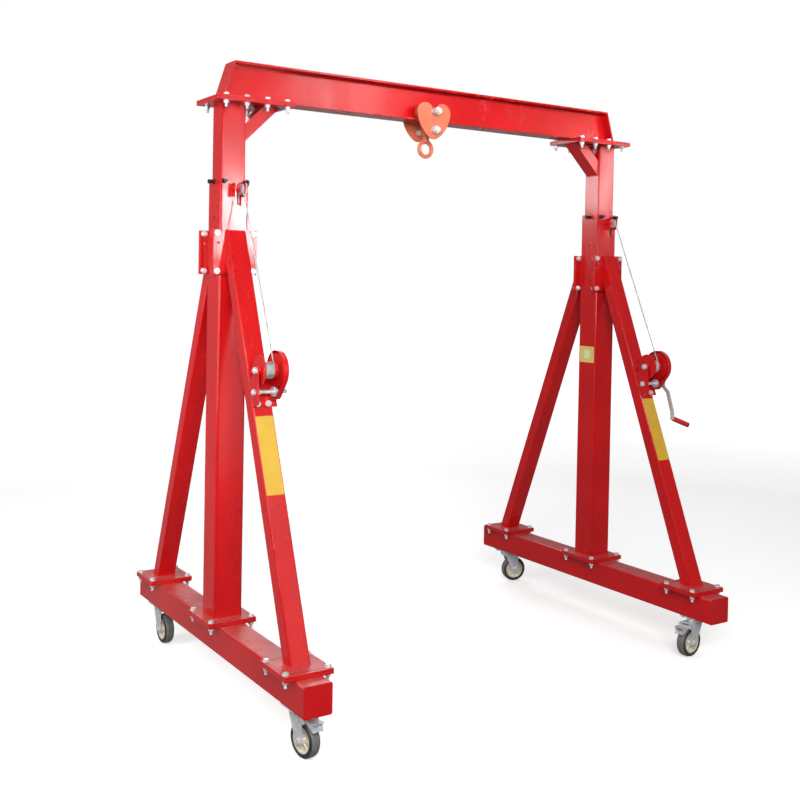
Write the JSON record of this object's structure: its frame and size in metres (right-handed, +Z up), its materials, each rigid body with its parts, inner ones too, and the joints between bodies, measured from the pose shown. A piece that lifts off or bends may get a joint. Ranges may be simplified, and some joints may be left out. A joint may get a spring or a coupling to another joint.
{
  "type": "gantry crane",
  "caption": "Wheeled workshop gantry crane: red height-adjustable end frames with hand winches, an I-beam bridge and a hanging-eye trolley.",
  "frame": {"origin": "on the floor under the middle of the overall box", "axes": "+X along the bridge beam toward the end with the crank, +Y from the winch side to the plain side, +Z up"},
  "size_m": [2.3019, 1.64, 2.518],
  "materials": {
    "red_enamel": "glossy",
    "orange_enamel": "glossy",
    "zinc": "dull zinc plate",
    "rope_wire": "galvanised strands",
    "black_steel": "satin",
    "tread_rubber": "matt",
    "cream_core": "satin",
    "grip_plastic": "satin"
  },
  "bodies": {
    "end_frames": {"base_beams": "red_enamel", "base_pads": "red_enamel", "foot_plates": "red_enamel", "outer_posts": "red_enamel", "lock_screws": "black_steel", "post_clamp_plates": "red_enamel", "brace_clamp_plates": "red_enamel", "front_braces": "red_enamel", "back_braces": "red_enamel", "winch_frames": "red_enamel", "winch_axles": "zinc", "frame_bolts": "zinc", "sheave_brackets": "red_enamel", "wire_ropes": "rope_wire", "caster_top_plates": "zinc"},
    "bridge": {"bridge_beam": "red_enamel", "post_head_plates": "red_enamel", "beam_head_plates": "red_enamel", "head_bolts": "zinc", "inner_posts": "red_enamel", "knee_braces": "red_enamel", "rope_anchors": "red_enamel"},
    "trolley": {"trolley_side_plates": "orange_enamel", "trolley_wheels": "orange_enamel", "trolley_bolts": "zinc"},
    "eye": {"trolley_eye": "orange_enamel"},
    "left_sheave_wheel": {"left_sheave": "zinc"},
    "left_drum": {"left_winch_drum": "red_enamel", "left_rope_coil": "rope_wire"},
    "left_shaft": {"left_winch_shaft": "zinc"},
    "right_sheave_wheel": {"right_sheave": "zinc"},
    "right_drum": {"right_winch_drum": "red_enamel", "right_rope_coil": "rope_wire"},
    "right_shaft": {"right_winch_shaft": "zinc", "winch_crank": "zinc"},
    "crank_handle": {"crank_grip": "grip_plastic"},
    "left_front_swivel": {"left_front_fork": "zinc"},
    "left_front_wheel": {"left_front_hub": "cream_core", "left_front_tyre": "tread_rubber"},
    "left_front_brake": {"left_front_pedal": "zinc"},
    "left_back_swivel": {"left_back_fork": "zinc"},
    "left_back_wheel": {"left_back_hub": "cream_core", "left_back_tyre": "tread_rubber"},
    "right_front_swivel": {"right_front_fork": "zinc"},
    "right_front_wheel": {"right_front_hub": "cream_core", "right_front_tyre": "tread_rubber"},
    "right_front_brake": {"right_front_pedal": "zinc"},
    "right_back_swivel": {"right_back_fork": "zinc"},
    "right_back_wheel": {"right_back_hub": "cream_core", "right_back_tyre": "tread_rubber"}
  },
  "joints": [
    {"name": "beam_lift", "type": "slide", "parent": "end_frames", "child": "bridge", "axis": [0, 0, 1], "range_m": [-0.14, 0.3]},
    {"name": "trolley_travel", "type": "slide", "parent": "bridge", "child": "trolley", "axis": [1, 0, 0], "range_m": [-0.61, 0.72]},
    {"name": "eye_swing", "type": "hinge", "parent": "trolley", "child": "eye", "pos_m": [-0.107, 0, 2.328], "axis": [0, 1, 0], "range_deg": [-40, 40]},
    {"name": "left_sheave_spin", "type": "hinge", "parent": "end_frames", "child": "left_sheave_wheel", "pos_m": [-1.031, -0.077, 2.007], "axis": [1, 0, 0], "continuous": true},
    {"name": "left_drum_spin", "type": "hinge", "parent": "end_frames", "child": "left_drum", "pos_m": [-1.031, -0.37414, 1.3158], "axis": [1, 0, 0], "continuous": true},
    {"name": "left_shaft_spin", "type": "hinge", "parent": "end_frames", "child": "left_shaft", "pos_m": [-1.031, -0.36333, 1.23415], "axis": [1, 0, 0], "continuous": true},
    {"name": "right_sheave_spin", "type": "hinge", "parent": "end_frames", "child": "right_sheave_wheel", "pos_m": [0.969, -0.077, 1.965], "axis": [1, 0, 0], "continuous": true},
    {"name": "right_drum_spin", "type": "hinge", "parent": "end_frames", "child": "right_drum", "pos_m": [0.969, -0.37922, 1.27659], "axis": [1, 0, 0], "continuous": true},
    {"name": "right_shaft_spin", "type": "hinge", "parent": "end_frames", "child": "right_shaft", "pos_m": [0.969, -0.36919, 1.19484], "axis": [1, 0, 0], "continuous": true},
    {"name": "grip_spin", "type": "hinge", "parent": "right_shaft", "child": "crank_handle", "pos_m": [1.05505, -0.42446, 1.02966], "axis": [0.9272, -0.1189, -0.3552], "continuous": true},
    {"name": "left_front_turn", "type": "hinge", "parent": "end_frames", "child": "left_front_swivel", "pos_m": [-1.051, -0.68, 0.145], "axis": [0, 0, 1], "continuous": true},
    {"name": "left_front_roll", "type": "hinge", "parent": "left_front_swivel", "child": "left_front_wheel", "pos_m": [-1.04405, -0.71939, 0.065], "axis": [0.9848, 0.1736, 0], "continuous": true},
    {"name": "left_front_pedal_tilt", "type": "hinge", "parent": "left_front_swivel", "child": "left_front_brake", "pos_m": [-1.03954, -0.745, 0.1367], "axis": [0.9848, 0.1736, 0], "range_deg": [-8, 4]},
    {"name": "left_back_turn", "type": "hinge", "parent": "end_frames", "child": "left_back_swivel", "pos_m": [-1.051, 0.68, 0.145], "axis": [0, 0, 1], "continuous": true},
    {"name": "left_back_roll", "type": "hinge", "parent": "left_back_swivel", "child": "left_back_wheel", "pos_m": [-1.04995, 0.64001, 0.065], "axis": [0.9997, 0.0262, 0], "continuous": true},
    {"name": "right_front_turn", "type": "hinge", "parent": "end_frames", "child": "right_front_swivel", "pos_m": [0.949, -0.68, 0.145], "axis": [0, 0, 1], "continuous": true},
    {"name": "right_front_roll", "type": "hinge", "parent": "right_front_swivel", "child": "right_front_wheel", "pos_m": [0.90914, -0.68328, 0.065], "axis": [0.0819, -0.9966, 0], "continuous": true},
    {"name": "right_front_pedal_tilt", "type": "hinge", "parent": "right_front_swivel", "child": "right_front_brake", "pos_m": [0.88322, -0.68541, 0.1367], "axis": [0.0819, -0.9966, 0], "range_deg": [-8, 4]},
    {"name": "right_back_turn", "type": "hinge", "parent": "end_frames", "child": "right_back_swivel", "pos_m": [0.949, 0.68, 0.145], "axis": [0, 0, 1], "continuous": true},
    {"name": "right_back_roll", "type": "hinge", "parent": "right_back_swivel", "child": "right_back_wheel", "pos_m": [0.98733, 0.66857, 0.065], "axis": [0.2857, 0.9583, 0], "continuous": true}
  ],
  "couplings": [
    {"joint": "left_sheave_spin", "follows": "beam_lift", "rad_per_m": 50.505},
    {"joint": "left_drum_spin", "follows": "beam_lift", "rad_per_m": 34.13},
    {"joint": "left_shaft_spin", "follows": "beam_lift", "rad_per_m": -117.56},
    {"joint": "right_sheave_spin", "follows": "beam_lift", "rad_per_m": 50.505},
    {"joint": "right_drum_spin", "follows": "beam_lift", "rad_per_m": 34.13},
    {"joint": "right_shaft_spin", "follows": "beam_lift", "rad_per_m": -117.56}
  ]
}
